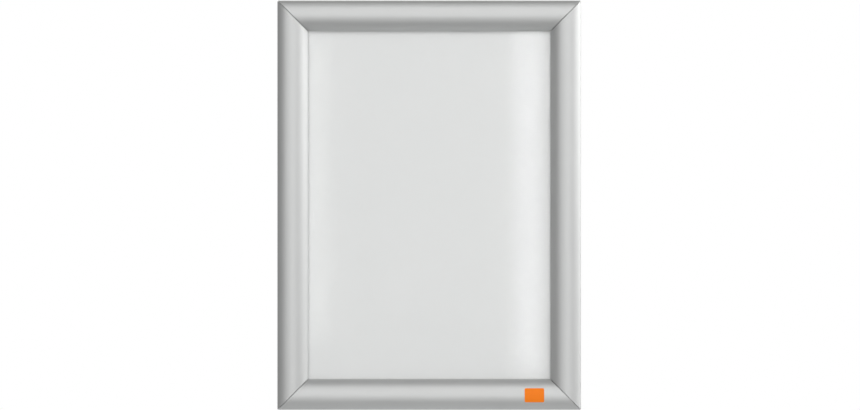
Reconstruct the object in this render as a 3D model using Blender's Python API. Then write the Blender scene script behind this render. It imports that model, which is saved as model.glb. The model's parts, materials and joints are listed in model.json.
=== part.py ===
"""Snap poster frame for one A4 sheet: four mitred two-part aluminium rails round a flat sheet pack.

Each rail is a base extrusion on the wall and a cover extrusion that swings open on a bead in the
base's socket. Leaf springs bridge the rail and push on the cover's heel, past the hinge line one
way when it is shut and the other way when it is open.

Row frame: X to the right, Y into the wall, Z up, origin in the middle of the plane on the wall.
A rail's section is drawn in U, from the outer edge inwards, and V, from the wall forwards.
"""

import math

import bmesh
import bpy
from mathutils import Matrix

# Sheet pack, in metres
POSTER_WIDTH = 0.210
POSTER_HEIGHT = 0.297
POSTER_THICKNESS = 0.0002
PANEL_THICKNESS = 0.0012
CLEAR_SHEET_THICKNESS = 0.0005

# Rail
RAIL_WIDTH = 0.025
RAIL_DEPTH = 0.013
LIP_OVERLAP = 0.005
SEAT_GAP = 0.0003
MITRE_SETBACK = 0.00025
JOIN_OVERRUN = 0.0006

# Hinge: a bead on the cover turns in a socket on the base
BEAD_RADIUS = 0.0018
HINGE_CLEARANCE = 0.0001
SOCKET_WALL = 0.0009
NECK_THICKNESS = 0.0008
NECK_ANGLE = math.radians(10)
JAW_PLAY = math.radians(4)
OPEN_ANGLE = math.radians(90)
SIDE_REVEAL = 0.0003

# Base extrusion
REAR_PLATE = 0.0012
REAR_SETBACK = 0.0025
INNER_WALL = 0.0011
LIP_PLATE = 0.0007
LIP_REACH = 0.0012
HOOK_REACH = 0.0016
HOOK_PLATE = 0.0008
STOP_HEIGHT = 0.0008
RIDGE_HEIGHT = 0.0005
RIDGE_THICKNESS = 0.0005
SOCKET_WEB_ANGLE = math.radians(-60)

# Cover extrusion
COVER_WALL = 0.0013
CROWN_PEAK_SHARE = 0.45
EDGE_FACE = 0.0009
EDGE_ROUND = 0.0007
TIP_FACE = 0.0021
TIP_ROUND = 0.0004
TOE_WIDTH = 0.0010
HEEL_THICKNESS = 0.0010
HEEL_END_ANGLE = math.radians(-47)
HEEL_SIDE_GAP = 0.0006

# Leaf springs
LEAF_THICKNESS = 0.0004
LEAF_WIDTH = 0.024
LEAF_BOW = 0.0007
LEAF_TIP_ANGLE = math.radians(-33)
LEAF_PLACE_SHARE = 0.18
GROOVE_ABOVE = 0.0005
GROOVE_BELOW = 0.0020

# Corner keys, the stakes that hold them, and the wall-screw holes
KEY_WIDTH = 0.0055
KEY_REACH = 0.038
KEY_THICKNESS = 0.0020
KEY_CHAMFER = 0.0015
KEY_HOLE_CLEARANCE = 0.0004
KEY_HOLE_PLACE = 0.029
STAKE_RADIUS = 0.0012
STAKE_TIP_RADIUS = 0.0007
STAKE_RISE = 0.0007
DENT_DEPTH = 0.0005
SCREW_HOLE_RADIUS = 0.00225
SCREW_HOLE_PLACE = 0.050
COUNTERSINK_RADIUS = 0.0038
COUNTERSINK_DEPTH = 0.0008

# Facets: the turn a segment on small rounds and on the wide crown, and sides of a turned shape
ROUND_STEP = math.radians(15)
ROUND_SIDES = 24
CROWN_STEP = math.radians(3)
WELD_DISTANCE = 0.000001
SMOOTH_ANGLE = math.radians(28)

# Outside of the frame
POSTER_INSET = RAIL_WIDTH - LIP_OVERLAP
FRAME_WIDTH = POSTER_WIDTH + 2 * POSTER_INSET
FRAME_HEIGHT = POSTER_HEIGHT + 2 * POSTER_INSET

# Levels of the sheet pack, from the wall forwards
PANEL_BACK = REAR_PLATE + SEAT_GAP
PANEL_FRONT = PANEL_BACK + PANEL_THICKNESS
POSTER_BACK = PANEL_FRONT + SEAT_GAP
POSTER_FRONT = POSTER_BACK + POSTER_THICKNESS
CLEAR_BACK = POSTER_FRONT + SEAT_GAP
CLEAR_FRONT = CLEAR_BACK + CLEAR_SHEET_THICKNESS
TOE_LEVEL = CLEAR_FRONT + SEAT_GAP

# Hinge circles about the hinge axis
SOCKET_INNER = BEAD_RADIUS + HINGE_CLEARANCE
SOCKET_OUTER = SOCKET_INNER + SOCKET_WALL
HEEL_INNER = SOCKET_OUTER + SEAT_GAP
HEEL_MIDDLE = HEEL_INNER + HEEL_THICKNESS / 2
HEEL_OUTER = HEEL_INNER + HEEL_THICKNESS
JAW_HALF_ANGLE = math.asin(NECK_THICKNESS / 2 / SOCKET_INNER) + JAW_PLAY
INNER_JAW_ANGLE = NECK_ANGLE - JAW_HALF_ANGLE
OUTER_JAW_ANGLE = NECK_ANGLE + OPEN_ANGLE + JAW_HALF_ANGLE

# Places across the section
HINGE_U = SIDE_REVEAL + SOCKET_OUTER
HINGE_V = REAR_PLATE + SEAT_GAP + HEEL_MIDDLE * math.sin(-HEEL_END_ANGLE) + HEEL_THICKNESS / 2
COVER_EDGE_V = HINGE_V + HINGE_U
HOOK_TIP_U = POSTER_INSET - SEAT_GAP
WALL_INNER_U = HOOK_TIP_U - HOOK_REACH
WALL_OUTER_U = WALL_INNER_U - INNER_WALL
LIP_TIP_U = WALL_OUTER_U - LIP_REACH
PANEL_INSET = WALL_INNER_U + SEAT_GAP
KEY_INNER_U = WALL_OUTER_U - SEAT_GAP
KEY_OUTER_U = KEY_INNER_U - KEY_WIDTH
KEY_MIDDLE_U = (KEY_OUTER_U + KEY_INNER_U) / 2
RIDGE_INNER_U = KEY_OUTER_U - SEAT_GAP
RIDGE_OUTER_U = RIDGE_INNER_U - RIDGE_THICKNESS
HEEL_REACH_U = HINGE_U + HEEL_OUTER
SCREW_HOLE_U = (HEEL_REACH_U + WALL_OUTER_U) / 2

# Leaf spring ends: the foot in the base's groove, the tip on the shut cover's heel.
# The foot lies half the opening angle past the tip, so the tip is as far from it shut as open.
LEAF_TIP_RADIUS = HEEL_OUTER + SEAT_GAP + LEAF_THICKNESS / 2
LEAF_TIP_U = HINGE_U + LEAF_TIP_RADIUS * math.cos(LEAF_TIP_ANGLE)
LEAF_TIP_V = HINGE_V + LEAF_TIP_RADIUS * math.sin(LEAF_TIP_ANGLE)
LEAF_FOOT_U = WALL_OUTER_U - SEAT_GAP - LEAF_THICKNESS / 2
LEAF_FOOT_V = HINGE_V + (LEAF_FOOT_U - HINGE_U) * math.tan(LEAF_TIP_ANGLE + OPEN_ANGLE / 2)
GROOVE_TOP = LEAF_FOOT_V + GROOVE_ABOVE
GROOVE_FLOOR = LEAF_FOOT_V - GROOVE_BELOW

# Crown of the cover: two arcs that meet level at the peak
PEAK_U = RAIL_WIDTH * CROWN_PEAK_SHARE
EDGE_TOP_V = COVER_EDGE_V + EDGE_FACE
TIP_TOP_V = TOE_LEVEL + TIP_FACE


def radius_through(drop, reach):
    """Radius of an arc that starts level and falls by drop over reach."""
    return (drop * drop + reach * reach) / (2 * drop)


OUTER_CROWN_RADIUS = radius_through(RAIL_DEPTH - EDGE_TOP_V, PEAK_U)
INNER_CROWN_RADIUS = radius_through(RAIL_DEPTH - TIP_TOP_V, RAIL_WIDTH - PEAK_U)

# The rails: name, turn about Y from the bottom rail, and outside length
RAILS = (
    ("bottom", 0, FRAME_WIDTH, FRAME_HEIGHT),
    ("left", math.radians(90), FRAME_HEIGHT, FRAME_WIDTH),
    ("top", math.radians(180), FRAME_WIDTH, FRAME_HEIGHT),
    ("right", math.radians(270), FRAME_HEIGHT, FRAME_WIDTH),
)


def arc(centre, radius, start, end, step=ROUND_STEP):
    """Points along an arc from one angle to another, ends included."""
    count = max(2, math.ceil(abs(end - start) / step) + 1)
    turns = [start + (end - start) * i / (count - 1) for i in range(count)]
    return [(centre[0] + radius * math.cos(a), centre[1] + radius * math.sin(a)) for a in turns]


def on_circle(centre, radius, angle):
    return (centre[0] + radius * math.cos(angle), centre[1] + radius * math.sin(angle))


def crown_height(u, inset):
    """V of the crown's surface at U, or of a surface that runs inset below it."""
    outer = u < PEAK_U
    radius = OUTER_CROWN_RADIUS if outer else INNER_CROWN_RADIUS
    across = u - PEAK_U
    return RAIL_DEPTH - radius + math.sqrt((radius - inset) ** 2 - across * across)


def crown_arc(radius, from_u, to_u, inset):
    """Points of one crown arc, inset below the surface, between two places across the rail."""
    centre = (PEAK_U, RAIL_DEPTH - radius)
    start = math.acos((from_u - PEAK_U) / (radius - inset))
    end = math.acos((to_u - PEAK_U) / (radius - inset))
    return arc(centre, radius - inset, start, end, CROWN_STEP)


def corner_round(radius, face_u, rounding, side):
    """Rounding between the upright face at face_u and the crown: its centre and end angles."""
    centre_u = face_u - side * rounding
    across = centre_u - PEAK_U
    centre_v = RAIL_DEPTH - radius + math.sqrt((radius - rounding) ** 2 - across * across)
    crown_angle = math.atan2(centre_v - (RAIL_DEPTH - radius), across)
    face_angle = math.pi if side < 0 else 0
    return (centre_u, centre_v), face_angle, crown_angle


def cover_shell_outline():
    """Curved plate of the cover, from its outer edge over the crown to the toe on the sheet."""
    edge, edge_face, edge_crown = corner_round(OUTER_CROWN_RADIUS, 0, EDGE_ROUND, -1)
    tip, tip_face, tip_crown = corner_round(INNER_CROWN_RADIUS, RAIL_WIDTH, TIP_ROUND, 1)
    edge_u = on_circle(edge, EDGE_ROUND, edge_crown)[0]
    tip_u = on_circle(tip, TIP_ROUND, tip_crown)[0]
    toe_u = RAIL_WIDTH - TOE_WIDTH
    points = [(0, COVER_EDGE_V)]
    points += arc(edge, EDGE_ROUND, edge_face, edge_crown)
    points += crown_arc(OUTER_CROWN_RADIUS, edge_u, PEAK_U, 0)[1:-1]
    points += crown_arc(INNER_CROWN_RADIUS, PEAK_U, tip_u, 0)[:-1]
    points += arc(tip, TIP_ROUND, tip_crown, tip_face)
    points += [(RAIL_WIDTH, TOE_LEVEL), (toe_u, TOE_LEVEL)]
    points += crown_arc(INNER_CROWN_RADIUS, toe_u, PEAK_U, COVER_WALL)[:-1]
    points += crown_arc(OUTER_CROWN_RADIUS, PEAK_U, COVER_WALL, COVER_WALL)
    points += [(COVER_WALL, COVER_EDGE_V)]
    return points


def hinge_bar_outline():
    """Bead, neck, rib and heel that hang under the cover's crown."""
    hinge = (HINGE_U, HINGE_V)
    half_neck = NECK_THICKNESS / 2
    bead_half = math.asin(half_neck / BEAD_RADIUS)
    heel_half = math.asin(half_neck / HEEL_INNER)
    rib_outer_u = HINGE_U + HEEL_INNER
    rib_inner_u = HINGE_U + HEEL_OUTER
    neck_run = (HEEL_INNER + half_neck * math.sin(NECK_ANGLE)) / math.cos(NECK_ANGLE)
    neck_top_v = HINGE_V + neck_run * math.sin(NECK_ANGLE) + half_neck * math.cos(NECK_ANGLE)
    heel_end = on_circle(hinge, HEEL_MIDDLE, HEEL_END_ANGLE)
    points = [(rib_outer_u, crown_height(rib_outer_u, COVER_WALL / 2)), (rib_outer_u, neck_top_v)]
    points += arc(
        hinge, BEAD_RADIUS, NECK_ANGLE + bead_half, NECK_ANGLE + math.tau - bead_half
    )
    points += arc(hinge, HEEL_INNER, NECK_ANGLE - heel_half, HEEL_END_ANGLE)
    points += arc(heel_end, HEEL_THICKNESS / 2, HEEL_END_ANGLE - math.pi, HEEL_END_ANGLE)[1:-1]
    points += arc(hinge, HEEL_OUTER, HEEL_END_ANGLE, 0)
    points += [(rib_inner_u, crown_height(rib_inner_u, COVER_WALL / 2))]
    return points


def base_outline():
    """Rear plate with the hinge socket, the key ridge, and the inner wall's lips and sheet hook."""
    hinge = (HINGE_U, HINGE_V)
    web = on_circle(hinge, SOCKET_OUTER, SOCKET_WEB_ANGLE)
    rear_end = RAIL_WIDTH - REAR_SETBACK
    wall_top = GROOVE_TOP + LIP_PLATE
    hook_top = POSTER_BACK + HOOK_PLATE
    points = [(SIDE_REVEAL, 0), (rear_end, 0), (rear_end, REAR_PLATE)]
    points += [(WALL_INNER_U, REAR_PLATE), (WALL_INNER_U, POSTER_BACK)]
    points += [(HOOK_TIP_U, POSTER_BACK), (HOOK_TIP_U, CLEAR_FRONT + STOP_HEIGHT)]
    points += [(HOOK_TIP_U - HOOK_PLATE, CLEAR_FRONT + STOP_HEIGHT)]
    points += [(HOOK_TIP_U - HOOK_PLATE, hook_top), (WALL_INNER_U, hook_top)]
    points += [(WALL_INNER_U, wall_top), (LIP_TIP_U, wall_top), (LIP_TIP_U, GROOVE_TOP)]
    points += [(WALL_OUTER_U, GROOVE_TOP), (WALL_OUTER_U, GROOVE_FLOOR)]
    points += [(LIP_TIP_U, GROOVE_FLOOR), (LIP_TIP_U, GROOVE_FLOOR - LIP_PLATE)]
    points += [(WALL_OUTER_U, GROOVE_FLOOR - LIP_PLATE), (WALL_OUTER_U, REAR_PLATE)]
    points += [(RIDGE_INNER_U, REAR_PLATE), (RIDGE_INNER_U, REAR_PLATE + RIDGE_HEIGHT)]
    points += [(RIDGE_OUTER_U, REAR_PLATE + RIDGE_HEIGHT), (RIDGE_OUTER_U, REAR_PLATE)]
    points += [(web[0], REAR_PLATE)]
    points += arc(hinge, SOCKET_OUTER, SOCKET_WEB_ANGLE, INNER_JAW_ANGLE)
    points += arc(hinge, SOCKET_INNER, INNER_JAW_ANGLE, OUTER_JAW_ANGLE - math.tau)
    points += arc(hinge, SOCKET_OUTER, OUTER_JAW_ANGLE, math.pi)
    return points


def leaf_outline():
    """Bowed strip from the base's groove to the heel, about the foot, with round ends."""
    reach_u = LEAF_TIP_U - LEAF_FOOT_U
    reach_v = LEAF_TIP_V - LEAF_FOOT_V
    chord = math.hypot(reach_u, reach_v)
    radius = radius_through(LEAF_BOW, chord / 2)
    half_turn = math.asin(chord / 2 / radius)
    toward_tip = math.atan2(reach_v, reach_u)
    away = toward_tip - math.pi / 2
    centre = (
        reach_u / 2 + (radius - LEAF_BOW) * math.cos(away),
        reach_v / 2 + (radius - LEAF_BOW) * math.sin(away),
    )
    facing = away + math.pi
    half = LEAF_THICKNESS / 2
    start = facing - half_turn
    end = facing + half_turn
    foot = on_circle(centre, radius, start)
    tip = on_circle(centre, radius, end)
    step = half_turn / 6
    points = arc(centre, radius + half, start, end, step)[1:-1]
    points += arc(tip, half, end, end + math.pi, math.radians(45))
    points += arc(centre, radius - half, end, start, step)[1:-1]
    points += arc(foot, half, start + math.pi, start + math.tau, math.radians(45))
    return points


def new_collection(name):
    collection = bpy.data.collections.new(name)
    bpy.context.scene.collection.children.link(collection)
    return collection


def new_material(name, colour, roughness, metallic, alpha=1.0):
    material = bpy.data.materials.new(name)
    material.use_nodes = True
    shader = material.node_tree.nodes["Principled BSDF"]
    shader.inputs["Base Color"].default_value = (*colour, 1.0)
    shader.inputs["Roughness"].default_value = roughness
    shader.inputs["Metallic"].default_value = metallic
    shader.inputs["Alpha"].default_value = alpha
    return material


def extruded(outlines, half_length, turn):
    """Closed mesh of a flat outline, or one with holes, thickened to both sides and turned."""
    curve = bpy.data.curves.new("outline", "CURVE")
    curve.dimensions = "2D"
    curve.fill_mode = "BOTH"
    curve.extrude = half_length
    for points in outlines:
        spline = curve.splines.new("POLY")
        spline.points.add(len(points) - 1)
        for place, (x, y) in zip(spline.points, points):
            place.co = (x, y, 0, 1)
        spline.use_cyclic_u = True
    guide = bpy.data.objects.new("outline", curve)
    bpy.context.scene.collection.objects.link(guide)
    graph = bpy.context.evaluated_depsgraph_get()
    mesh = bpy.data.meshes.new_from_object(guide.evaluated_get(graph))
    bpy.data.objects.remove(guide)
    shape = bmesh.new()
    shape.from_mesh(mesh)
    bmesh.ops.remove_doubles(shape, verts=shape.verts, dist=WELD_DISTANCE)
    bmesh.ops.transform(shape, matrix=turn, verts=shape.verts)
    bmesh.ops.recalc_face_normals(shape, faces=shape.faces)
    shape.to_mesh(mesh)
    shape.free()
    return mesh


# A section's U, V and length become the rail's Z, -Y and X
SECTION_TO_RAIL = Matrix(((0, 0, 1, 0), (0, -1, 0, 0), (1, 0, 0, 0), (0, 0, 0, 1)))
# A plan in X and Z, thickened along Y
PLAN_TO_FRAME = Matrix(((1, 0, 0, 0), (0, 0, -1, 0), (0, 1, 0, 0), (0, 0, 0, 1)))


def mitred(mesh, length, setback):
    """Cut both ends of a rail at 45 degrees: each point ends short by its own U."""
    for vertex in mesh.vertices:
        end = length / 2 - setback - vertex.co.z
        vertex.co.x = math.copysign(end, vertex.co.x)


def finished(name, mesh, material, collection, matrix):
    """Named object of a mesh, shaded smooth between its sharp edges."""
    mesh.name = name
    mesh.materials.clear()
    mesh.materials.append(material)
    mesh.shade_smooth()
    mesh.set_sharp_from_angle(angle=SMOOTH_ANGLE)
    obj = bpy.data.objects.new(name, mesh)
    collection.objects.link(obj)
    obj.matrix_world = matrix
    return obj


def helper(name, mesh, collection, matrix):
    obj = bpy.data.objects.new(name, mesh)
    collection.objects.link(obj)
    obj.matrix_world = matrix
    obj.hide_render = True
    obj.display_type = "WIRE"
    return obj


def combine(obj, other, operation):
    modifier = obj.modifiers.new(operation.lower(), "BOOLEAN")
    modifier.operation = operation
    modifier.object = other


def turned(name, profile):
    """Closed mesh of (radius, V) points turned about V; the first and last lie on the axis."""
    mesh = bpy.data.meshes.new(name)
    shape = bmesh.new()
    verts = [shape.verts.new((radius, -v, 0)) for radius, v in profile]
    edges = [shape.edges.new(pair) for pair in zip(verts, verts[1:])]
    bmesh.ops.spin(
        shape,
        geom=verts + edges,
        cent=(0, 0, 0),
        axis=(0, 1, 0),
        angle=math.tau,
        steps=ROUND_SIDES,
        use_merge=True,
    )
    bmesh.ops.remove_doubles(shape, verts=shape.verts, dist=WELD_DISTANCE)
    bmesh.ops.recalc_face_normals(shape, faces=shape.faces)
    shape.to_mesh(mesh)
    shape.free()
    return mesh


def rail_place(turn, across, u, v):
    """Frame that puts a rail's section point (u, v) at the origin, for the rail at that turn."""
    return Matrix.Rotation(turn, 4, "Y") @ Matrix.Translation((0, -v, u - across / 2))


def add_base_rail(name, turn, length, across, material, parts, cutters):
    mesh = extruded([base_outline()], length / 2, SECTION_TO_RAIL)
    mitred(mesh, length, MITRE_SETBACK)
    matrix = rail_place(turn, across, 0, 0)
    rail = finished("base_rail_" + name, mesh, material, parts, matrix)
    add_stakes(rail, name, length, matrix, cutters)
    if name in ("bottom", "top"):
        add_screw_holes(rail, name, length, matrix, cutters)
    return rail


def add_stakes(rail, name, length, matrix, cutters):
    """Stakes pressed up out of the rear plate into the corner keys, each over its dent."""
    stake_base = REAR_PLATE - JOIN_OVERRUN
    stake_top = REAR_PLATE + STAKE_RISE
    stake = [(0, stake_base), (STAKE_RADIUS, stake_base), (STAKE_RADIUS, REAR_PLATE)]
    stake += [(STAKE_TIP_RADIUS, stake_top), (0, stake_top)]
    slope = (STAKE_RADIUS - STAKE_TIP_RADIUS) / DENT_DEPTH
    dent = [(0, -JOIN_OVERRUN), (STAKE_RADIUS + slope * JOIN_OVERRUN, -JOIN_OVERRUN)]
    dent += [(STAKE_TIP_RADIUS, DENT_DEPTH), (0, DENT_DEPTH)]
    for end, side in (("start", -1), ("end", 1)):
        x = side * (length / 2 - KEY_HOLE_PLACE)
        place = matrix @ Matrix.Translation((x, 0, KEY_MIDDLE_U))
        raised = helper(f"stake_{name}_{end}", turned("stake", stake), cutters, place)
        combine(rail, raised, "UNION")
        pressed = helper(f"dent_{name}_{end}", turned("dent", dent), cutters, place)
        combine(rail, pressed, "DIFFERENCE")


def add_screw_holes(rail, name, length, matrix, cutters):
    """Wall-screw holes through the rear plate and the key ridge, countersunk from inside."""
    front = REAR_PLATE + RIDGE_HEIGHT + JOIN_OVERRUN
    hole = [(0, -JOIN_OVERRUN), (SCREW_HOLE_RADIUS, -JOIN_OVERRUN)]
    hole += [(SCREW_HOLE_RADIUS, REAR_PLATE - COUNTERSINK_DEPTH)]
    hole += [(COUNTERSINK_RADIUS, REAR_PLATE), (COUNTERSINK_RADIUS, front), (0, front)]
    for end, side in (("start", -1), ("end", 1)):
        x = side * (length / 2 - SCREW_HOLE_PLACE)
        place = matrix @ Matrix.Translation((x, 0, SCREW_HOLE_U))
        drill = helper(f"screw_hole_{name}_{end}", turned("screw_hole", hole), cutters, place)
        combine(rail, drill, "DIFFERENCE")


def shifted(points, u, v):
    return [(x - u, y - v) for x, y in points]


def add_snap_cover(name, turn, length, across, material, parts, cutters):
    """Cover with its origin on the hinge axis: a mitred shell joined to a shorter hinge bar."""
    shell = extruded([cover_shell_outline()], length / 2, SECTION_TO_RAIL)
    mitred(shell, length, MITRE_SETBACK)
    shell.transform(Matrix.Translation((0, HINGE_V, -HINGE_U)))
    matrix = rail_place(turn, across, HINGE_U, HINGE_V)
    cover = finished("snap_cover_" + name, shell, material, parts, matrix)
    # The bar stops short of the neighbour's heel at any angle of the two covers
    bar_end = length / 2 - HEEL_REACH_U - HEEL_SIDE_GAP
    bar = extruded(
        [shifted(hinge_bar_outline(), HINGE_U, HINGE_V)], bar_end, SECTION_TO_RAIL
    )
    combine(cover, helper("hinge_bar_" + name, bar, cutters, matrix), "UNION")
    return cover


def add_leaf_springs(name, turn, length, across, material, parts):
    """Two leaf springs a rail, each with its origin on the foot's axis."""
    mesh = extruded([leaf_outline()], LEAF_WIDTH / 2, SECTION_TO_RAIL)
    matrix = rail_place(turn, across, LEAF_FOOT_U, LEAF_FOOT_V)
    for number, side in enumerate((-1, 1), 1):
        place = matrix @ Matrix.Translation((side * length * LEAF_PLACE_SHARE, 0, 0))
        finished(f"leaf_spring_{name}_{number}", mesh.copy(), material, parts, place)


def add_corner_keys(material, parts):
    """L-shaped keys in the channels of two neighbouring base rails, with a hole for each stake."""
    near = KEY_REACH - KEY_CHAMFER
    arm = [
        (KEY_OUTER_U, KEY_OUTER_U),
        (near, KEY_OUTER_U),
        (KEY_REACH, KEY_OUTER_U + KEY_CHAMFER),
        (KEY_REACH, KEY_INNER_U - KEY_CHAMFER),
        (near, KEY_INNER_U),
        (KEY_INNER_U, KEY_INNER_U),
    ]
    plan = arm + [(z, x) for x, z in arm[-2:0:-1]]
    holes = [
        arc(place, STAKE_RADIUS + KEY_HOLE_CLEARANCE, 0, math.tau)[:-1]
        for place in ((KEY_HOLE_PLACE, KEY_MIDDLE_U), (KEY_MIDDLE_U, KEY_HOLE_PLACE))
    ]
    for name, side_x, side_z in (
        ("bottom_left", -1, -1),
        ("bottom_right", 1, -1),
        ("top_right", 1, 1),
        ("top_left", -1, 1),
    ):
        outlines = [
            [(side_x * (FRAME_WIDTH / 2 - x), side_z * (FRAME_HEIGHT / 2 - z)) for x, z in points]
            for points in [plan, *holes]
        ]
        mesh = extruded(outlines, KEY_THICKNESS / 2, PLAN_TO_FRAME)
        place = Matrix.Translation((0, -REAR_PLATE - SEAT_GAP - KEY_THICKNESS / 2, 0))
        finished("corner_key_" + name, mesh, material, parts, place)


def add_sheet(name, width, height, back, front, material, parts):
    """Flat rectangular sheet between two levels in front of the wall."""
    mesh = bpy.data.meshes.new(name)
    shape = bmesh.new()
    size = Matrix.Diagonal((width, front - back, height, 1))
    bmesh.ops.create_cube(shape, size=1, matrix=size)
    shape.to_mesh(mesh)
    shape.free()
    place = Matrix.Translation((0, -(back + front) / 2, 0))
    finished(name, mesh, material, parts, place)


def build():
    for obj in list(bpy.data.objects):
        bpy.data.objects.remove(obj)
    parts = new_collection("snap_poster_frame")
    cutters = new_collection("cutters")
    anodised = new_material("anodised_aluminium", (0.70, 0.71, 0.70), 0.38, 1.0)
    mill = new_material("base_aluminium", (0.66, 0.67, 0.67), 0.45, 1.0)
    spring_steel = new_material("spring_steel", (0.55, 0.56, 0.58), 0.25, 1.0)
    zinc = new_material("zinc_plated_steel", (0.62, 0.63, 0.64), 0.40, 1.0)
    panel = new_material("back_panel_plastic", (0.80, 0.81, 0.81), 0.60, 0.0)
    paper = new_material("insert_paper", (0.86, 0.87, 0.865), 0.85, 0.0)
    clear = new_material("clear_sheet", (0.95, 0.96, 0.96), 0.20, 0.0, alpha=0.2)
    for name, turn, length, across in RAILS:
        add_base_rail(name, turn, length, across, mill, parts, cutters)
        add_snap_cover(name, turn, length, across, anodised, parts, cutters)
        add_leaf_springs(name, turn, length, across, spring_steel, parts)
    add_corner_keys(zinc, parts)
    panel_width = FRAME_WIDTH - 2 * PANEL_INSET
    panel_height = FRAME_HEIGHT - 2 * PANEL_INSET
    add_sheet("back_panel", panel_width, panel_height, PANEL_BACK, PANEL_FRONT, panel, parts)
    add_sheet(
        "poster_insert", POSTER_WIDTH, POSTER_HEIGHT, POSTER_BACK, POSTER_FRONT, paper, parts
    )
    add_sheet(
        "clear_cover_sheet", POSTER_WIDTH, POSTER_HEIGHT, CLEAR_BACK, CLEAR_FRONT, clear, parts
    )
    print("hinge axis from the outer edge and the wall:", HINGE_U, HINGE_V)
    print("leaf foot:", LEAF_FOOT_U, LEAF_FOOT_V, "leaf tip:", LEAF_TIP_U, LEAF_TIP_V)


build()
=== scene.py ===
import json
import math

import bmesh
import bpy
from mathutils import Matrix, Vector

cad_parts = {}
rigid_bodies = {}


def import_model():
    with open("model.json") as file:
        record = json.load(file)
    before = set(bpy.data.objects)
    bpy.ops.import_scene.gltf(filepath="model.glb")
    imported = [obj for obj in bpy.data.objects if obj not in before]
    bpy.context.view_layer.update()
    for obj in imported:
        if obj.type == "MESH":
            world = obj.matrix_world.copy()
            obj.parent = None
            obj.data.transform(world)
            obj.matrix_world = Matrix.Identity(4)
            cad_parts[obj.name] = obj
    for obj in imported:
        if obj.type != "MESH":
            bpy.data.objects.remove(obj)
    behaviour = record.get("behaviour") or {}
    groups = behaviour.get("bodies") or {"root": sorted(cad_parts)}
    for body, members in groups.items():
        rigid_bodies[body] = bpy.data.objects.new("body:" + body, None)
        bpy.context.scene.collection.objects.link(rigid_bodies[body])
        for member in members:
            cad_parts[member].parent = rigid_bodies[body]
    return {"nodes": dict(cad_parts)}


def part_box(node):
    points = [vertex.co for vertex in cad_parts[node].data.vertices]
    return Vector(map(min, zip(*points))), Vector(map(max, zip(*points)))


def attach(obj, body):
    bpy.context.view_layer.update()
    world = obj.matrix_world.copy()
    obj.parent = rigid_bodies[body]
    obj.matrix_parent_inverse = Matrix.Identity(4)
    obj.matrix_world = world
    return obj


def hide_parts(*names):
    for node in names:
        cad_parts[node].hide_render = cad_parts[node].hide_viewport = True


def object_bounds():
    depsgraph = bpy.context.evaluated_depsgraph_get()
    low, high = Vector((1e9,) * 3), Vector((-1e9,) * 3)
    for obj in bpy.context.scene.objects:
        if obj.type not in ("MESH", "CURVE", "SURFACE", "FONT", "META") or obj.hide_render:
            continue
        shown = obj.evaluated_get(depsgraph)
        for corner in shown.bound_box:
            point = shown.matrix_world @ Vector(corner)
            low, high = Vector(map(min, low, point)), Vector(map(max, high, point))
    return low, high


for leftover in list(bpy.data.objects):
    bpy.data.objects.remove(leftover)

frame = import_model()
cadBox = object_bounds()
print("frame loaded,", len(frame["nodes"]), "nodes")

# All lengths are metres. X is to the right, Y into the wall, Z up.
# A rail's section is drawn in u, from the outer edge inwards, and v, from the wall forwards.
frameWidth = cadBox[1].x - cadBox[0].x
frameHeight = cadBox[1].z - cadBox[0].z
paperBack = -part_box("poster_insert")[1].y
clearFront = -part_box("clear_cover_sheet")[0].y

rail = {
    "width": 0.025,
    "depth": 0.013,
    "sheetInset": 0.020,
    "rearPlate": 0.0012,
    "gap": 0.0003,  # between pieces that sit on each other
}

hinge = {
    "bead": 0.0018,
    "clearance": 0.0001,
    "socketWall": 0.0009,
    "sideReveal": 0.0003,
    "neck": 0.0008,
    "neckAngle": math.radians(10),
    "jawPlay": math.radians(4),
    "openAngle": math.radians(90),
    "heel": 0.0010,
    "heelEnd": math.radians(-47),
}

# Circles about the hinge axis, and the axis itself
socketInner = hinge["bead"] + hinge["clearance"]
socketOuter = socketInner + hinge["socketWall"]
heelInner = socketOuter + rail["gap"]
heelMiddle = heelInner + hinge["heel"] / 2
heelOuter = heelInner + hinge["heel"]
hingeU = hinge["sideReveal"] + socketOuter
heelDrop = heelMiddle * math.sin(-hinge["heelEnd"]) + hinge["heel"] / 2
hingeV = rail["rearPlate"] + rail["gap"] + heelDrop
hingeAt = (hingeU, hingeV)

# Side name, turn about Y from the bottom rail, outside length, and the frame's size across it
sides = (
    ("bottom", 0, frameWidth, frameHeight),
    ("left", math.radians(90), frameHeight, frameWidth),
    ("top", math.radians(180), frameWidth, frameHeight),
    ("right", math.radians(270), frameHeight, frameWidth),
)


# Shader wiring

fineDetail = 3.0  # of the grain, fibres and other small patterns
broadDetail = 2.0  # of the clouds


def put(socket, value):
    if isinstance(value, Wire):
        value.tree.links.new(value.socket, socket)
    else:
        socket.default_value = value


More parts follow.
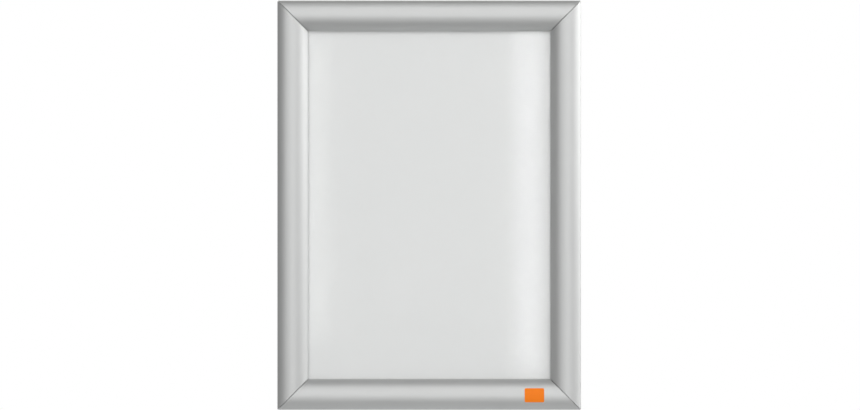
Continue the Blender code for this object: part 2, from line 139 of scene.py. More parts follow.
class Wire:
    # A node's output. Sums and products of wires make their own Math nodes.
    def __init__(self, tree, socket=None):
        self.tree = tree
        self.socket = socket

    def node(self, kind, settings=None, sockets=None, output=0):
        made = self.tree.nodes.new(kind)
        for setting, value in (settings or {}).items():
            setattr(made, setting, value)
        for socket, value in (sockets or {}).items():
            put(made.inputs[socket], value)
        return Wire(self.tree, made.outputs[output])

    def maths(self, operation, first, second):
        return self.node("ShaderNodeMath", {"operation": operation}, {0: first, 1: second})

    def __add__(self, other):
        return self.maths("ADD", self, other)

    def __radd__(self, other):
        return self.maths("ADD", other, self)

    def __sub__(self, other):
        return self.maths("SUBTRACT", self, other)

    def __rsub__(self, other):
        return self.maths("SUBTRACT", other, self)

    def __mul__(self, other):
        return self.maths("MULTIPLY", self, other)

    def __rmul__(self, other):
        return self.maths("MULTIPLY", other, self)

    def noise(self, place, scales, detail):
        stretched = self.node("ShaderNodeMapping", None, {"Vector": place, "Scale": scales})
        return self.node(
            "ShaderNodeTexNoise", None, {"Vector": stretched, "Scale": 1.0, "Detail": detail}
        )

    def cloud(self, place, scale):
        return self.noise(place, (scale,) * 3, broadDetail)

    def around(self, level, spread):
        # The level, varied by this noise, which is even about a half
        return level + (self - 0.5) * spread

    def between(self, share, low, high):
        # Colour part of the way from low to high. Inputs 6 and 7 of the Mix node are its two
        # colours, and output 2 is the mixed one.
        return self.node(
            "ShaderNodeMix",
            {"data_type": "RGBA"},
            {"Factor": share, 6: (*low, 1), 7: (*high, 1)},
            output=2,
        )


def newMaterial(name):
    material = bpy.data.materials.new(name)
    material.use_nodes = True
    tree = material.node_tree
    shader = tree.nodes["Principled BSDF"]
    wire = Wire(tree)
    place = wire.node("ShaderNodeTexCoord", output="Object")
    return material, shader, wire, place


def paint(wire, shader, finish, pattern, cloud):
    # Pattern and cloud together mix the colours, and the pattern alone gives the relief
    share = pattern * finish["patternShare"] + cloud * (1 - finish["patternShare"])
    put(shader.inputs["Base Color"], wire.between(share, finish["dark"], finish["light"]))
    bump = wire.node(
        "ShaderNodeBump",
        None,
        {"Height": pattern, "Distance": finish["relief"], "Strength": finish["reliefStrength"]},
    )
    put(shader.inputs["Normal"], bump)
    return share


# Finishes. Scales are per metre: along and across are those of the grain on a rail.


def drawnMetal(name, finish):
    material, shader, wire, place = newMaterial(name)
    scales = (finish["along"], finish["across"], finish["across"])
    grain = wire.noise(place, scales, fineDetail)
    share = paint(wire, shader, finish, grain, wire.cloud(place, finish["cloud"]))
    put(shader.inputs["Roughness"], share.around(finish["roughness"], finish["roughnessSpread"]))
    shader.inputs["Metallic"].default_value = 1.0
    return material


coverFinish = {
    "dark": (0.528, 0.534, 0.530),
    "light": (0.584, 0.590, 0.586),
    "roughness": 0.50,
    "roughnessSpread": 0.06,
    "along": 14,
    "across": 3200,
    "cloud": 35,
    "patternShare": 0.5,
    "relief": 0.00001,
    "reliefStrength": 0.10,
}

baseFinish = {
    "dark": (0.58, 0.59, 0.59),
    "light": (0.70, 0.71, 0.71),
    "roughness": 0.46,
    "roughnessSpread": 0.14,
    "along": 10,
    "across": 2200,
    "cloud": 60,
    "patternShare": 0.5,
    "relief": 0.00002,
    "reliefStrength": 0.35,
}

springFinish = {
    "dark": (0.43, 0.44, 0.46),
    "light": (0.53, 0.54, 0.56),
    "roughness": 0.33,
    "roughnessSpread": 0.08,
    "along": 60,
    "across": 2600,
    "cloud": 180,
    "patternShare": 0.5,
    "relief": 0.000005,
    "reliefStrength": 0.1,
}

keyFinish = {
    "dark": (0.50, 0.52, 0.53),
    "light": (0.70, 0.71, 0.71),
    "roughness": 0.42,
    "roughnessSpread": 0.2,
    "spangle": 420,
    "cloud": 90,
    "patternShare": 0.4,
    "relief": 0.00002,
    "reliefStrength": 0.3,
}


def zincPlate(name, finish):
    material, shader, wire, place = newMaterial(name)
    spangle = wire.node(
        "ShaderNodeTexVoronoi", {"feature": "F1"}, {"Vector": place, "Scale": finish["spangle"]}
    )
    share = paint(wire, shader, finish, spangle, wire.cloud(place, finish["cloud"]))
    put(shader.inputs["Roughness"], share.around(finish["roughness"], finish["roughnessSpread"]))
    shader.inputs["Metallic"].default_value = 1.0
    return material


paperFinish = {
    "dark": (0.796, 0.805, 0.800),
    "light": (0.832, 0.839, 0.832),
    "roughness": 0.85,
    "roughnessSpread": 0.08,
    "specular": 0.5,
    "alpha": 1.0,
    "fibre": 2600,
    "cloud": 25,
    "patternShare": 0.4,
    "relief": 0.00003,
    "reliefStrength": 0.35,
}

panelFinish = {
    "dark": (0.78, 0.79, 0.79),
    "light": (0.83, 0.84, 0.84),
    "roughness": 0.55,
    "roughnessSpread": 0.08,
    "specular": 0.5,
    "alpha": 1.0,
    "fibre": 900,
    "cloud": 18,
    "patternShare": 0.4,
    "relief": 0.00004,
    "reliefStrength": 0.2,
}

clearFinish = {
    "dark": (0.91, 0.925, 0.925),
    "light": (0.95, 0.955, 0.955),
    "roughness": 0.06,
    "roughnessSpread": 0.08,
    "specular": 0.5,
    "alpha": 0.14,
    "fibre": 3600,
    "cloud": 12,
    "patternShare": 0.4,
    "relief": 0.000001,
    "reliefStrength": 0.1,
}

badgeFinish = {
    "dark": (0.92, 0.208, 0.004),
    "light": (0.96, 0.222, 0.006),
    "roughness": 0.55,
    "roughnessSpread": 0.08,
    "specular": 0.25,
    "alpha": 1.0,
    "fibre": 1800,
    "cloud": 120,
    "patternShare": 0.4,
    "relief": 0.00001,
    "reliefStrength": 0.15,
}


def sheetMaterial(name, finish):
    material, shader, wire, place = newMaterial(name)
    fibre = wire.noise(place, (finish["fibre"],) * 3, fineDetail)
    paint(wire, shader, finish, fibre, wire.cloud(place, finish["cloud"]))
    put(shader.inputs["Roughness"], fibre.around(finish["roughness"], finish["roughnessSpread"]))
    shader.inputs["Alpha"].default_value = finish["alpha"]
    shader.inputs["Specular IOR Level"].default_value = finish["specular"]
    return material


satinCover = drawnMetal("satin_anodised_cover", coverFinish)
mattBase = drawnMetal("matt_anodised_base", baseFinish)
rolledSteel = drawnMetal("rolled_spring_steel", springFinish)
platedKey = zincPlate("zinc_plated_key", keyFinish)
blankPaper = sheetMaterial("blank_paper", paperFinish)
whitePanel = sheetMaterial("white_panel_plastic", panelFinish)
antiGlare = sheetMaterial("anti_glare_sheet", clearFinish)
orangeBadge = sheetMaterial("plain_orange_badge", badgeFinish)
print("finishes made")


# Mesh making

meshing = {
    "roundStep": math.radians(7.5),
    "crownStep": math.radians(1),
    "sharpAngle": math.radians(12),
    "turnedSides": 48,
    "edgeCuts": 1,
    "weld": 0.000001,
}
rightAngle = math.radians(90)


def arcPoints(centre, radius, start, end, step=meshing["roundStep"]):
    count = max(2, math.ceil(abs(end - start) / step) + 1)
    turns = [start + (end - start) * i / (count - 1) for i in range(count)]
    return [(centre[0] + radius * math.cos(a), centre[1] + radius * math.sin(a)) for a in turns]


def newObject(name, data):
    made = bpy.data.objects.new(name, data)
    bpy.context.scene.collection.objects.link(made)
    return made


def onCircle(centre, radius, angle):
    return (centre[0] + radius * math.cos(angle), centre[1] + radius * math.sin(angle))


# A section's u, v and length become the rail's Z, -Y and X; a plan's x and z stay where they are
sectionToRail = Matrix(((0, 0, 1, 0), (0, -1, 0, 0), (1, 0, 0, 0), (0, 0, 0, 1)))
planToFrame = Matrix(((1, 0, 0, 0), (0, 0, -1, 0), (0, 1, 0, 0), (0, 0, 0, 1)))


def thickened(outlines, halfLength, edge, axes):
    # Solid of an outline, or one with holes, with the edges of both ends rounded by edge
    curve = bpy.data.curves.new("outline", "CURVE")
    curve.dimensions = "2D"
    curve.fill_mode = "BOTH"
    curve.extrude = halfLength - edge
    curve.bevel_depth = edge
    curve.bevel_resolution = meshing["edgeCuts"]
    curve.offset = -edge
    for points in outlines:
        spline = curve.splines.new("POLY")
        spline.points.add(len(points) - 1)
        for point, (x, y) in zip(spline.points, points):
            point.co = (x, y, 0, 1)
        spline.use_cyclic_u = True
    guide = newObject("outline", curve)
    graph = bpy.context.evaluated_depsgraph_get()
    mesh = bpy.data.meshes.new_from_object(guide.evaluated_get(graph))
    bpy.data.objects.remove(guide)
    shape = bmesh.new()
    shape.from_mesh(mesh)
    bmesh.ops.remove_doubles(shape, verts=shape.verts, dist=meshing["weld"])
    bmesh.ops.transform(shape, matrix=axes, verts=shape.verts)
    bmesh.ops.recalc_face_normals(shape, faces=shape.faces)
    shape.to_mesh(mesh)
    shape.free()
    return mesh


def mitred(mesh, setback):
    # Each point moves in by its own u and the setback, so both ends stand at 45 degrees
    for vertex in mesh.vertices:
        end = abs(vertex.co.x) - setback - vertex.co.z
        vertex.co.x = math.copysign(end, vertex.co.x)


def turnedMesh(profile):
    # Closed mesh of (radius, v) points turned about v
    mesh = bpy.data.meshes.new("turned")
    shape = bmesh.new()
    verts = [shape.verts.new((radius, -v, 0)) for radius, v in profile]
    edges = [shape.edges.new(pair) for pair in zip(verts, verts[1:])]
    bmesh.ops.spin(
        shape,
        geom=verts + edges,
        cent=(0, 0, 0),
        axis=(0, 1, 0),
        angle=math.tau,
        steps=meshing["turnedSides"],
        use_merge=True,
    )
    bmesh.ops.remove_doubles(shape, verts=shape.verts, dist=meshing["weld"])
    bmesh.ops.recalc_face_normals(shape, faces=shape.faces)
    shape.to_mesh(mesh)
    shape.free()
    return mesh


def joined(mesh, others):
    # Mesh after each (operation, tool mesh, tool place) has been joined to it or cut from it
    body = newObject("body", mesh)
    tools = []
    for operation, toolMesh, place in others:
        tool = newObject("tool", toolMesh)
        tool.matrix_world = place
        tools.append(tool)
        modifier = body.modifiers.new("join", "BOOLEAN")
        modifier.operation = operation
        modifier.object = tool
    graph = bpy.context.evaluated_depsgraph_get()
    result = bpy.data.meshes.new_from_object(body.evaluated_get(graph))
    for used in [body, *tools]:
        bpy.data.objects.remove(used)
    return result


def addPiece(name, mesh, place, material, body, slot, *nodes):
    mesh.name = name
    mesh.materials.clear()
    mesh.materials.append(material)
    mesh.shade_smooth()
    mesh.set_sharp_from_angle(angle=meshing["sharpAngle"])
    piece = newObject(name, mesh)
    piece.matrix_world = place
    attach(piece, body)
    if nodes:
        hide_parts(*nodes)


def railPlace(turn, across, u=0, v=0):
    return Matrix.Rotation(turn, 4, "Y") @ Matrix.Translation((0, -v, u - across / 2))


# Covers: a crowned shell with its toe on the sheet, and a bead, neck, rib and heel behind it

cover = {
    "mitreSetback": 0.0003,
    "wall": 0.0013,
    "peakShare": 0.45,
    "edgeFace": 0.0009,
    "edgeRound": 0.0007,
    "tipFace": 0.0021,
    "tipRound": 0.0004,
    "bevelSlope": math.radians(43),  # of the flat strip beside the sheet
    "toe": 0.0010,
    "barSideGap": 0.0006,
    "brokenEdge": 0.00012,
}

peakU = rail["width"] * cover["peakShare"]
toeV = clearFront + rail["gap"]
coverEdgeV = hingeV + hingeU
edgeTopV = coverEdgeV + cover["edgeFace"]
tipTopV = toeV + cover["tipFace"]


def radiusThrough(drop, reach):
    return (drop * drop + reach * reach) / (2 * drop)


outerCrown = radiusThrough(rail["depth"] - edgeTopV, peakU)

# The inner arc runs level from the peak into the flat bevel, which ends at the tip
slope = cover["bevelSlope"]
bevelReach = (rail["width"] - peakU) * math.tan(slope)
innerCrown = (bevelReach - rail["depth"] + tipTopV) / (1 / math.cos(slope) - 1)


def crownRadius(u):
    return outerCrown if u < peakU else innerCrown


def crownHeight(u, inset=0):
    radius = crownRadius(u)
    across = u - peakU
    return rail["depth"] - radius + math.sqrt((radius - inset) ** 2 - across * across)


def crownArc(radius, fromU, toU, inset=0):
    centre = (peakU, rail["depth"] - radius)
    start = math.acos((fromU - peakU) / (radius - inset))
    end = math.acos((toU - peakU) / (radius - inset))
    return arcPoints(centre, radius - inset, start, end, meshing["crownStep"])


def bevelHeight(u, inset=0):
    return tipTopV + (rail["width"] - u) * math.tan(slope) - inset / math.cos(slope)


def bevelStart(inset=0):
    return peakU + (innerCrown - inset) * math.sin(slope)


def shellOutline():
    edgeRound = cover["edgeRound"]
    across = edgeRound - peakU
    rise = math.sqrt((outerCrown - edgeRound) ** 2 - across * across)
    edge = (edgeRound, rail["depth"] - outerCrown + rise)
    edgeCrown = math.atan2(rise, across)
    tipRound = cover["tipRound"]
    tipU = rail["width"] - tipRound
    tip = (tipU, bevelHeight(tipU, tipRound))
    toeU = rail["width"] - cover["toe"]
    wall = cover["wall"]
    points = [(0, coverEdgeV)]
    points += arcPoints(edge, edgeRound, math.pi, edgeCrown)
    points += crownArc(outerCrown, onCircle(edge, edgeRound, edgeCrown)[0], peakU)[1:-1]
    points += crownArc(innerCrown, peakU, bevelStart())
    points += arcPoints(tip, tipRound, rightAngle - slope, 0)
    points += [(rail["width"], toeV), (toeU, toeV), (toeU, bevelHeight(toeU, wall))]
    points += crownArc(innerCrown, bevelStart(wall), peakU, wall)[:-1]
    points += crownArc(outerCrown, peakU, wall, wall)
    points += [(wall, coverEdgeV)]
    return points


def barOutline():
    halfNeck = hinge["neck"] / 2
    angle = hinge["neckAngle"]
    beadHalf = math.asin(halfNeck / hinge["bead"])
    heelHalf = math.asin(halfNeck / heelInner)
    neckRun = (heelInner + halfNeck * math.sin(angle)) / math.cos(angle)
    neckTopV = hingeV + neckRun * math.sin(angle) + halfNeck * math.cos(angle)
    heelEnd = onCircle(hingeAt, heelMiddle, hinge["heelEnd"])
    ribOuter = hingeU + heelInner
    ribInner = hingeU + heelOuter
    sunk = cover["wall"] / 2
    points = [(ribOuter, crownHeight(ribOuter, sunk)), (ribOuter, neckTopV)]
    points += arcPoints(hingeAt, hinge["bead"], angle + beadHalf, angle + math.tau - beadHalf)
    points += arcPoints(hingeAt, heelInner, angle - heelHalf, hinge["heelEnd"])
    points += arcPoints(
        heelEnd, hinge["heel"] / 2, hinge["heelEnd"] - math.pi, hinge["heelEnd"]
    )[1:-1]
    points += arcPoints(hingeAt, heelOuter, hinge["heelEnd"], 0)
    points += [(ribInner, crownHeight(ribInner, sunk))]
    return points


for side, turn, length, across in sides:
    shell = thickened([shellOutline()], length / 2, cover["brokenEdge"], sectionToRail)
    mitred(shell, cover["mitreSetback"])
    barEnd = length / 2 - hingeU - heelOuter - cover["barSideGap"]
    bar = thickened([barOutline()], barEnd, cover["brokenEdge"], sectionToRail)
    mesh = joined(shell, [("UNION", bar, Matrix.Identity(4))])
    addPiece(
        "cover_profile_" + side,
        mesh,
        railPlace(turn, across),
        satinCover,
        side + "_cover",
        "cover_aluminium",
        "snap_cover_" + side,
    )
print("covers made")


# Base rails: rear plate, hinge socket, key ridge, spring groove and sheet hook

base = {
    "mitreSetback": 0.00004,
    "rearSetback": 0.0025,
    "innerWall": 0.0011,
    "lipPlate": 0.0007,
    "lipReach": 0.0012,
    "hookReach": 0.0016,
    "hookPlate": 0.0008,
    "stopHeight": 0.0008,
    "ridgeHeight": 0.0005,
    "ridge": 0.0005,
    "webAngle": math.radians(-60),
    "brokenEdge": 0.00008,
    "overrun": 0.0006,
}

leaf = {
    "thickness": 0.0004,
    "width": 0.024,
    "bow": 0.0007,
    "bowSteps": 14,  # in each half of its arc
    "tipAngle": math.radians(-33),
    "placeShare": 0.18,
    "grooveAbove": 0.0005,
    "grooveBelow": 0.0020,
    "brokenEdge": 0.00005,
}

key = {
    "width": 0.0055,
    "reach": 0.038,
    "thickness": 0.0020,
    "chamfer": 0.0015,
    "holeClearance": 0.0004,
    "holePlace": 0.029,
    "brokenEdge": 0.00015,
}

stake = {"radius": 0.0012, "tipRadius": 0.0007, "rise": 0.0007, "dent": 0.0005}

screwHole = {"radius": 0.00225, "place": 0.050, "sinkRadius": 0.0038, "sinkDepth": 0.0008}

hookTipU = rail["sheetInset"] - rail["gap"]
wallInnerU = hookTipU - base["hookReach"]
wallOuterU = wallInnerU - base["innerWall"]
lipTipU = wallOuterU - base["lipReach"]
keyInnerU = wallOuterU - rail["gap"]
keyOuterU = keyInnerU - key["width"]
keyMiddleU = (keyOuterU + keyInnerU) / 2
ridgeInnerU = keyOuterU - rail["gap"]
ridgeOuterU = ridgeInnerU - base["ridge"]
screwHoleU = (hingeU + heelOuter + wallOuterU) / 2

# The leaf's foot is in the groove; its tip is as far from the foot shut as open
leafTip = onCircle(hingeAt, heelOuter + rail["gap"] + leaf["thickness"] / 2, leaf["tipAngle"])
leafFootU = wallOuterU - rail["gap"] - leaf["thickness"] / 2
leafFootV = hingeV + (leafFootU - hingeU) * math.tan(leaf["tipAngle"] + hinge["openAngle"] / 2)
grooveTop = leafFootV + leaf["grooveAbove"]
grooveFloor = leafFootV - leaf["grooveBelow"]


def baseOutline():
    plate = rail["rearPlate"]
    web = onCircle(hingeAt, socketOuter, base["webAngle"])
    jawHalf = math.asin(hinge["neck"] / 2 / socketInner) + hinge["jawPlay"]
    innerJaw = hinge["neckAngle"] - jawHalf
    outerJaw = hinge["neckAngle"] + hinge["openAngle"] + jawHalf
    rearEnd = rail["width"] - base["rearSetback"]
    wallTop = grooveTop + base["lipPlate"]
    hookTop = paperBack + base["hookPlate"]
    stopU = hookTipU - base["hookPlate"]
    stopTop = clearFront + base["stopHeight"]
    lowLip = grooveFloor - base["lipPlate"]
    ridgeTop = plate + base["ridgeHeight"]
    points = [(hinge["sideReveal"], 0), (rearEnd, 0), (rearEnd, plate)]
    points += [(wallInnerU, plate), (wallInnerU, paperBack), (hookTipU, paperBack)]
    points += [(hookTipU, stopTop), (stopU, stopTop), (stopU, hookTop), (wallInnerU, hookTop)]
    points += [(wallInnerU, wallTop), (lipTipU, wallTop), (lipTipU, grooveTop)]
    points += [(wallOuterU, grooveTop), (wallOuterU, grooveFloor), (lipTipU, grooveFloor)]
    points += [(lipTipU, lowLip), (wallOuterU, lowLip), (wallOuterU, plate)]
    points += [(ridgeInnerU, plate), (ridgeInnerU, ridgeTop), (ridgeOuterU, ridgeTop)]
    points += [(ridgeOuterU, plate), (web[0], plate)]
    points += arcPoints(hingeAt, socketOuter, base["webAngle"], innerJaw)
    points += arcPoints(hingeAt, socketInner, innerJaw, outerJaw - math.tau)
    points += arcPoints(hingeAt, socketOuter, outerJaw, math.pi)
    return points


def stakeTools(length):
    plate = rail["rearPlate"]
    under = base["overrun"]
    raised = [(0, plate - under), (stake["radius"], plate - under), (stake["radius"], plate)]
    raised += [(stake["tipRadius"], plate + stake["rise"]), (0, plate + stake["rise"])]
    taper = (stake["radius"] - stake["tipRadius"]) / stake["dent"]
    dent = [(0, -under), (stake["radius"] + taper * under, -under)]
    dent += [(stake["tipRadius"], stake["dent"]), (0, stake["dent"])]
    tools = []
    for way in (-1, 1):
        place = Matrix.Translation((way * (length / 2 - key["holePlace"]), 0, keyMiddleU))
        tools.append(("UNION", turnedMesh(raised), place))
        tools.append(("DIFFERENCE", turnedMesh(dent), place))
    return tools


def screwTools(length):
    plate = rail["rearPlate"]
    front = plate + base["ridgeHeight"] + base["overrun"]
    sink = screwHole["sinkRadius"]
    hole = [(0, -base["overrun"]), (screwHole["radius"], -base["overrun"])]
    hole += [(screwHole["radius"], plate - screwHole["sinkDepth"]), (sink, plate)]
    hole += [(sink, front), (0, front)]
    tools = []
    for way in (-1, 1):
        place = Matrix.Translation((way * (length / 2 - screwHole["place"]), 0, screwHoleU))
        tools.append(("DIFFERENCE", turnedMesh(hole), place))
    return tools


for side, turn, length, across in sides:
    mesh = thickened([baseOutline()], length / 2, base["brokenEdge"], sectionToRail)
    mitred(mesh, base["mitreSetback"])
    tools = stakeTools(length)
    if side in ("bottom", "top"):
        tools += screwTools(length)
    addPiece(
        "base_profile_" + side,
        joined(mesh, tools),
        railPlace(turn, across),
        mattBase,
        "wall_base",
        "base_aluminium",
        "base_rail_" + side,
    )
print("base rails made")


# Leaf springs: bowed strips that stand in the groove and push on the cover's heel


def leafOutline():
    reachU = leafTip[0] - leafFootU
    reachV = leafTip[1] - leafFootV
    chord = math.hypot(reachU, reachV)
    radius = radiusThrough(leaf["bow"], chord / 2)
    halfTurn = math.asin(chord / 2 / radius)
    away = math.atan2(reachV, reachU) - rightAngle
    centre = onCircle((reachU / 2, reachV / 2), radius - leaf["bow"], away)
    half = leaf["thickness"] / 2
    start = away + math.pi - halfTurn
    end = away + math.pi + halfTurn
    step = halfTurn / leaf["bowSteps"]
    points = arcPoints(centre, radius + half, start, end, step)[1:-1]
    points += arcPoints(onCircle(centre, radius, end), half, end, end + math.pi)
    points += arcPoints(centre, radius - half, end, start, step)[1:-1]
    points += arcPoints(onCircle(centre, radius, start), half, start + math.pi, start + math.tau)
    return points


for side, turn, length, across in sides:
    for number, way in enumerate((-1, 1), 1):
        blade = thickened([leafOutline()], leaf["width"] / 2, leaf["brokenEdge"], sectionToRail)
        shift = Matrix.Translation((way * length * leaf["placeShare"], 0, 0))
        addPiece(
            f"spring_blade_{side}_{number}",
            blade,
            railPlace(turn, across, leafFootU, leafFootV) @ shift,
            rolledSteel,
            side + "_leaves",
            "spring_steel",
            f"leaf_spring_{side}_{number}",
        )
print("leaf springs made")


# Corner keys: L-shaped plates staked into two neighbouring base rails

near = key["reach"] - key["chamfer"]
keyArm = [
    (keyOuterU, keyOuterU),
    (near, keyOuterU),
    (key["reach"], keyOuterU + key["chamfer"]),
    (key["reach"], keyInnerU - key["chamfer"]),
    (near, keyInnerU),
    (keyInnerU, keyInnerU),
]
keyPlan = keyArm + [(z, x) for x, z in keyArm[-2:0:-1]]  # the other arm has x and z swapped
holeRadius = stake["radius"] + key["holeClearance"]
keyHoles = [
    arcPoints(place, holeRadius, 0, math.tau)[:-1]
    for place in ((key["holePlace"], keyMiddleU), (keyMiddleU, key["holePlace"]))
]
keyLevel = rail["rearPlate"] + rail["gap"] + key["thickness"] / 2

for corner, wayX, wayZ in (
    ("bottom_left", -1, -1),
    ("bottom_right", 1, -1),
    ("top_right", 1, 1),
    ("top_left", -1, 1),
):
    outlines = [
        [(wayX * (frameWidth / 2 - x), wayZ * (frameHeight / 2 - z)) for x, z in points]
        for points in [keyPlan, *keyHoles]
    ]
    addPiece(
        "key_plate_" + corner,
        thickened(outlines, key["thickness"] / 2, key["brokenEdge"], planToFrame),
        Matrix.Translation((0, -keyLevel, 0)),
        platedKey,
        "wall_base",
        "key_steel",
        "corner_key_" + corner,
    )
print("corner keys made")


# Sheets keep their CAD shape

for node, material in (
    ("back_panel", whitePanel),
    ("poster_insert", blankPaper),
    ("clear_cover_sheet", antiGlare),
):
    for slot in frame["nodes"][node].material_slots:
        slot.material = material
print("sheets dressed")


# Badge on the bottom cover: a thin plate that follows the crown

badge = {
    "fromX": 0.0785,
    "toX": 0.0946,
    "fromU": 0.0064,
    "toU": 0.0179,
    "corner": 0.0011,
    "proud": 0.00015,
    "sunk": 0.00005,
    "edge": 0.00004,
    "slices": 16,
}


def badgeMesh():
    corners = []
    for quarter, (x, u) in enumerate(
        (
            (badge["toX"], badge["toU"]),
            (badge["fromX"], badge["toU"]),
            (badge["fromX"], badge["fromU"]),
            (badge["toX"], badge["fromU"]),
        )
    ):
        inX = x - badge["corner"] if x == badge["toX"] else x + badge["corner"]
        inU = u - badge["corner"] if u == badge["toU"] else u + badge["corner"]
        start = quarter * rightAngle
        corners += arcPoints((inX, inU), badge["corner"], start, start + rightAngle)
    half = (badge["proud"] + badge["sunk"]) / 2
    mesh = thickened([corners], half, badge["edge"], Matrix.Identity(4))
    shape = bmesh.new()
    shape.from_mesh(mesh)
    for i in range(1, badge["slices"]):
        u = badge["fromU"] + (badge["toU"] - badge["fromU"]) * i / badge["slices"]
        everything = shape.verts[:] + shape.edges[:] + shape.faces[:]
        bmesh.ops.bisect_plane(shape, geom=everything, plane_co=(0, u, 0), plane_no=(0, 1, 0))
    for vertex in shape.verts:
        x, u, height = vertex.co
        radius = crownRadius(u)
        outward = radius + height + half - badge["sunk"]
        angle = math.acos((u - peakU) / radius)
        centreV = rail["depth"] - radius
        vertex.co = (x, -centreV - outward * math.sin(angle), peakU + outward * math.cos(angle))
    bmesh.ops.recalc_face_normals(shape, faces=shape.faces)
    shape.to_mesh(mesh)
    shape.free()
    return mesh


addPiece(
    "badge_plate",
    badgeMesh(),
    railPlace(0, frameHeight),
    orangeBadge,
    "bottom_cover",
    None,
)
print("badge made")


# Floor: a pale round floor that fades out, so that it has no rim against the white background

floorSettings = {
    "level": -0.48,
    "radius": 0.62,
    "segments": 96,
    "fadeFrom": 0.12,
    "fadeTo": 0.58,
    "pale": (0.86, 0.87, 0.87),
    "dusty": (0.82, 0.83, 0.83),
    "roughness": 0.8,
    "cloud": 3.0,
}


def addFloor():
    mesh = bpy.data.meshes.new("floor")
    shape = bmesh.new()
    bmesh.ops.create_circle(
        shape,
        cap_ends=True,
        radius=floorSettings["radius"],
        segments=floorSettings["segments"],
    )
    shape.to_mesh(mesh)
    shape.free()
    material, shader, wire, place = newMaterial("pale_floor")
    cloud = wire.cloud(place, floorSettings["cloud"])
    put(
        shader.inputs["Base Color"],
        wire.between(cloud, floorSettings["dusty"], floorSettings["pale"]),
    )
    shader.inputs["Roughness"].default_value = floorSettings["roughness"]
    distance = wire.node(
        "ShaderNodeVectorMath", {"operation": "LENGTH"}, {0: place}, output="Value"
    )
    solid = wire.node(
        "ShaderNodeMapRange",
        {"interpolation_type": "SMOOTHSTEP"},
        {
            "Value": distance,
            "From Min": floorSettings["fadeFrom"],
            "From Max": floorSettings["fadeTo"],
            "To Min": 1.0,
            "To Max": 0.0,
        },
    )
    put(shader.inputs["Alpha"], solid)
    mesh.materials.append(material)
    floor = newObject("floor", mesh)
    floor.location = (0, 0, floorSettings["level"])


addFloor()
print("floor made")


# Lamps: where each stands, its size and how bright its face looks. All point at the frame.
# The two band strips beside the camera show as soft upright bands in the clear sheet.

lamps = (
    {
        "name": "front_softbox",
        "place": (0.49, -2.32, 0.33),
        "size": (1.9, 1.0),
        "glow": 1.20,
    },
    {
        "name": "front_left_softbox",
        "place": (-1.08, -2.12, 0.33),
        "size": (1.0, 1.0),
        "glow": 1.80,
    },
    {
        "name": "overhead_softbox",
        "place": (0.15, -1.68, 1.41),
        "size": (1.6, 1.0),
        "glow": 1.67,
    },
    {
        "name": "front_right_softbox",
        "place": (1.88, -1.37, 0.58),
        "size": (1.0, 1.2),
        "glow": 1.84,
    },
    {
        "name": "right_softbox",
        "place": (1.31, -0.33, 0.66),
        "size": (0.8, 0.8),
        "glow": 2.1,
    },
    {
        "name": "right_strip",
        "place": (1.76, -0.19, 0.31),
        "size": (0.5, 1.4),
        "glow": 3.5,
    },
    {
        "name": "right_band_strip",
        "place": (0.165, -3.2, 0.02),
        "size": (0.044, 0.60),
        "glow": 21.0,
    },
    {
        "name": "left_band_strip",
        "place": (-0.187, -3.2, 0.04),
        "size": (0.035, 0.52),
        "glow": 10.5,
    },
    {
        "name": "low_softbox",
        "place": (0.3, -2.2, -0.75),
        "size": (1.6, 0.6),
        "glow": 1.17,
    },
    {
        "name": "rear_softbox",
        "place": (-0.5, 1.6, 1.3),
        "size": (2.4, 1.0),
        "glow": 2.4,
    },
)


def addLamp(settings):
    light = bpy.data.lights.new(settings["name"], "AREA")
    light.shape = "RECTANGLE"
    light.size, light.size_y = settings["size"]
    # Glow is the radiance of the lamp's face, so its power is pi times that over the area
    light.energy = settings["glow"] * math.pi * light.size * light.size_y
    lamp = newObject(settings["name"], light)
    lamp.location = settings["place"]
    lamp.rotation_euler = (-lamp.location).to_track_quat("-Z", "Y").to_euler()
    lamp.visible_camera = False


for settings in lamps:
    addLamp(settings)
print("lamps made")


# World: an even grey studio. What lies behind the frame shows white, in the metal too.

worldSettings = {"studio": 0.377, "behindFrom": 0.80, "behindTo": 0.95}


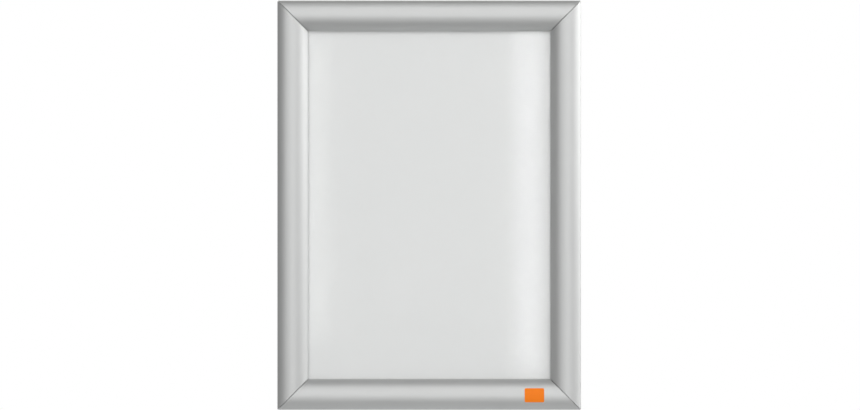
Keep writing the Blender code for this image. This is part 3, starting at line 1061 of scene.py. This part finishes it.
def addWorld():
    world = bpy.data.worlds.new("studio")
    bpy.context.scene.world = world
    world.use_nodes = True
    wire = Wire(world.node_tree)
    path = world.node_tree.nodes.new("ShaderNodeLightPath")
    isCamera = Wire(world.node_tree, path.outputs["Is Camera Ray"])
    isGlossy = Wire(world.node_tree, path.outputs["Is Glossy Ray"])
    isTransmission = Wire(world.node_tree, path.outputs["Is Transmission Ray"])
    place = wire.node("ShaderNodeTexCoord", output="Generated")
    intoWall = wire.node("ShaderNodeSeparateXYZ", None, {"Vector": place}, output="Y")
    behind = wire.node(
        "ShaderNodeMapRange",
        {"interpolation_type": "SMOOTHSTEP"},
        {
            "Value": intoWall,
            "From Min": worldSettings["behindFrom"],
            "From Max": worldSettings["behindTo"],
        },
    )
    white = wire.maths("MAXIMUM", isCamera, (isGlossy + isTransmission) * behind)
    level = worldSettings["studio"]
    background = world.node_tree.nodes["Background"]
    background.inputs["Color"].default_value = (1, 1, 1, 1)
    put(background.inputs["Strength"], level + white * (1 - level))


addWorld()
print("world made")


# Camera: a long lens from straight in front, placed so that the frame fills the photograph's height

photo = {
    "width": 860,
    "height": 410,
    "metresPerPixel": 0.0008237,
    "objectX": 429.2,
    "objectY": 205.2,
}
cameraSettings = {
    "distance": 3.2,
    "plane": 0.008,  # in front of the wall, where the photograph's scale holds
    "sensor": 36.0,  # millimetres
}

cameraData = bpy.data.cameras.new("camera")
cameraData.sensor_width = cameraSettings["sensor"]
viewWidth = photo["width"] * photo["metresPerPixel"]
cameraData.lens = cameraData.sensor_width * cameraSettings["distance"] / viewWidth
camera = newObject("camera", cameraData)
offsetX = (photo["width"] / 2 - photo["objectX"]) * photo["metresPerPixel"]
offsetZ = (photo["objectY"] - photo["height"] / 2) * photo["metresPerPixel"]
camera.location = (offsetX, -cameraSettings["distance"] - cameraSettings["plane"], offsetZ)
camera.rotation_euler = (rightAngle, 0, 0)
bpy.context.scene.camera = camera
bpy.context.scene.view_settings.view_transform = "Standard"
